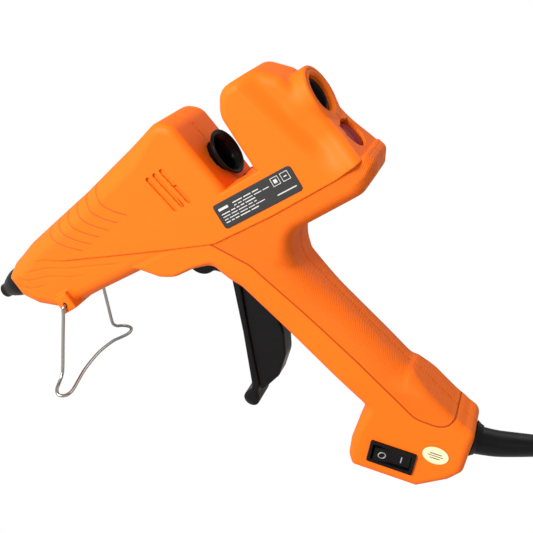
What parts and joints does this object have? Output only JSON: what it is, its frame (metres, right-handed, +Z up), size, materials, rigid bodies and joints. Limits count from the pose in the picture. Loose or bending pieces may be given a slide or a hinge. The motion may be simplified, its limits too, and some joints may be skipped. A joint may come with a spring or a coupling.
{
  "type": "hot glue gun",
  "caption": "Pistol-grip hot glue gun with rear stick port, open feed gap, trigger, rocker switch, folding wire stand and mains cord.",
  "frame": {"origin": "centre of the flat base of the grip's foot, where the gun stands on the table", "axes": "+Z up, +X to the rear where the cord leaves, -X where the nozzle points down to the table, +Y to the gun's right side"},
  "size_m": [0.4872, 0.1458, 0.2203],
  "materials": {
    "housing_orange": "satin, fine moulded texture on the grip",
    "screw_steel": "zinc plated",
    "nozzle_brass": "turned",
    "boot_rubber": "matte silicone",
    "chamber_aluminium": "cast",
    "black_plastic": "satin",
    "heater_ceramic": "unglazed ceramic",
    "charcoal_plastic": "matte",
    "lens_red": "clear red, polished",
    "lamp_glass": "clear",
    "trigger_black": "satin",
    "pin_steel": "ground",
    "switch_black": "semi-gloss",
    "label_charcoal": "printed film",
    "sticker_yellow": "paper",
    "stand_steel": "bright zinc wire",
    "cord_rubber": "satin",
    "plug_black": "satin",
    "plug_nickel": "nickel plated"
  },
  "bodies": {
    "gun": {"housing_left": "housing_orange", "housing_right": "housing_orange", "housing_screw_1": "screw_steel", "housing_screw_2": "screw_steel", "housing_screw_3": "screw_steel", "housing_screw_4": "screw_steel", "housing_screw_5": "screw_steel", "housing_screw_6": "screw_steel", "housing_screw_7": "screw_steel", "nozzle": "nozzle_brass", "nozzle_boot": "boot_rubber", "melt_chamber": "chamber_aluminium", "inlet_sleeve": "black_plastic", "heater": "heater_ceramic", "heater_clamp": "chamber_aluminium", "chamber_cradle_front": "charcoal_plastic", "chamber_cradle_rear": "charcoal_plastic", "port_liner": "black_plastic", "indicator_lens": "lens_red", "indicator_lamp": "lamp_glass", "trigger_pin": "pin_steel", "trigger_spring": "pin_steel", "switch_bezel": "switch_black", "rating_label": "label_charcoal", "inspection_sticker": "sticker_yellow", "strain_relief": "cord_rubber", "cord_clamp": "charcoal_plastic", "cord_coil": "cord_rubber", "power_cord": "cord_rubber", "power_cord_tail": "cord_rubber", "plug_body": "plug_black", "plug_pin_left": "plug_nickel", "plug_pin_right": "plug_nickel"},
    "trigger": {"trigger": "trigger_black", "link_pin": "pin_steel"},
    "pusher": {"pusher": "charcoal_plastic", "stick_gripper": "chamber_aluminium"},
    "rocker": {"switch_rocker": "switch_black"},
    "stand": {"stand_wire": "stand_steel"}
  },
  "joints": [
    {"name": "trigger_pull", "type": "hinge", "parent": "gun", "child": "trigger", "pos_m": [-0.13078, 0, 0.10171], "axis": [0, -1, 0], "range_deg": [0, 28], "stiffness_Nm_per_rad": 0.12, "springref_deg": -28.65},
    {"name": "pusher_slide", "type": "slide", "parent": "gun", "child": "pusher", "axis": [-0.7254, 0, -0.6884], "range_m": [0, 0.0099]},
    {"name": "rocker_tilt", "type": "hinge", "parent": "gun", "child": "rocker", "pos_m": [0.001, -0.0151, 0.0168], "axis": [0, 0, -1], "range_deg": [0, 14]},
    {"name": "stand_fold", "type": "hinge", "parent": "gun", "child": "stand", "pos_m": [-0.21101, 0, 0.04969], "axis": [0, 1, 0], "range_deg": [-98, 0]}
  ],
  "couplings": [
    {"joint": "pusher_slide", "follows": "trigger_pull", "m_per_rad": 0.02}
  ]
}
